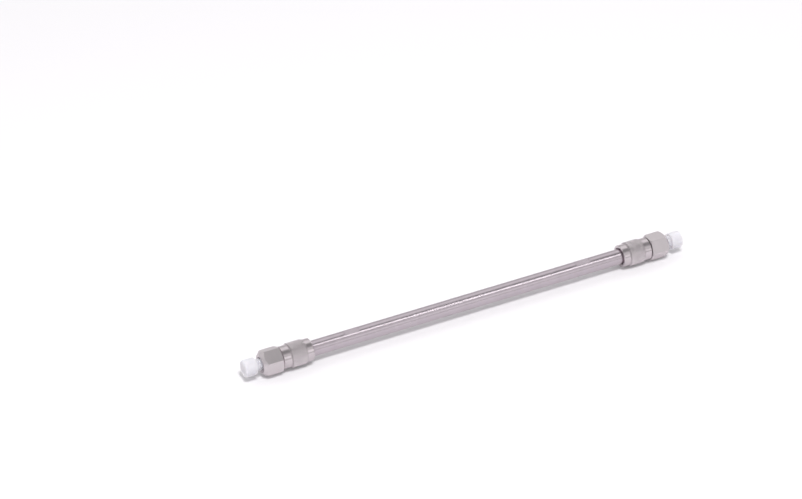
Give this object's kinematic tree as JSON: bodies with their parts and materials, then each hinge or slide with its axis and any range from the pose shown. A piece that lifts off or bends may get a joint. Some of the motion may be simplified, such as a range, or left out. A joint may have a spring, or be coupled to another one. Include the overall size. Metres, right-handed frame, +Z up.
{
  "type": "hplc column",
  "caption": "Steel liquid chromatography column: straight tube with wrench flats, knurled nuts, hexagonal end fittings and white port plugs.",
  "frame": {"origin": "under the middle of the column, on the surface it lies on", "axes": "+X along the column, +Y across it, +Z up"},
  "size_m": [0.1966, 0.011, 0.011],
  "materials": {
    "ground_steel": "centreless ground stainless steel",
    "turned_steel": "fine turned stainless steel",
    "ferrule_steel": "fine turned stainless steel",
    "sintered_steel": "sintered and grainy",
    "seal_plastic": "natural moulded",
    "silica_bed": "fine white powder, packed",
    "plug_plastic": "milky white moulded, slightly translucent"
  },
  "bodies": {
    "column": {"column_tube": "ground_steel", "packed_bed": "silica_bed", "left_coupling_nut": "turned_steel", "left_front_ferrule": "ferrule_steel", "left_back_ferrule": "ferrule_steel", "left_frit": "sintered_steel", "left_frit_seal_ring": "seal_plastic", "right_coupling_nut": "turned_steel", "right_front_ferrule": "ferrule_steel", "right_back_ferrule": "ferrule_steel", "right_frit": "sintered_steel", "right_frit_seal_ring": "seal_plastic"},
    "left_fitting": {"left_end_fitting": "turned_steel"},
    "left_plug": {"left_port_plug": "plug_plastic"},
    "right_fitting": {"right_end_fitting": "turned_steel"},
    "right_plug": {"right_port_plug": "plug_plastic"}
  },
  "joints": [
    {"name": "left_fitting_unscrews", "type": "slide", "parent": "column", "child": "left_fitting", "axis": [-1, 0, 0], "range_m": [0, 0.012]},
    {"name": "left_plug_unscrews", "type": "slide", "parent": "left_fitting", "child": "left_plug", "axis": [-1, 0, 0], "range_m": [0, 0.008]},
    {"name": "right_fitting_unscrews", "type": "slide", "parent": "column", "child": "right_fitting", "axis": [1, 0, 0], "range_m": [0, 0.012]},
    {"name": "right_plug_unscrews", "type": "slide", "parent": "right_fitting", "child": "right_plug", "axis": [1, 0, 0], "range_m": [0, 0.008]}
  ]
}
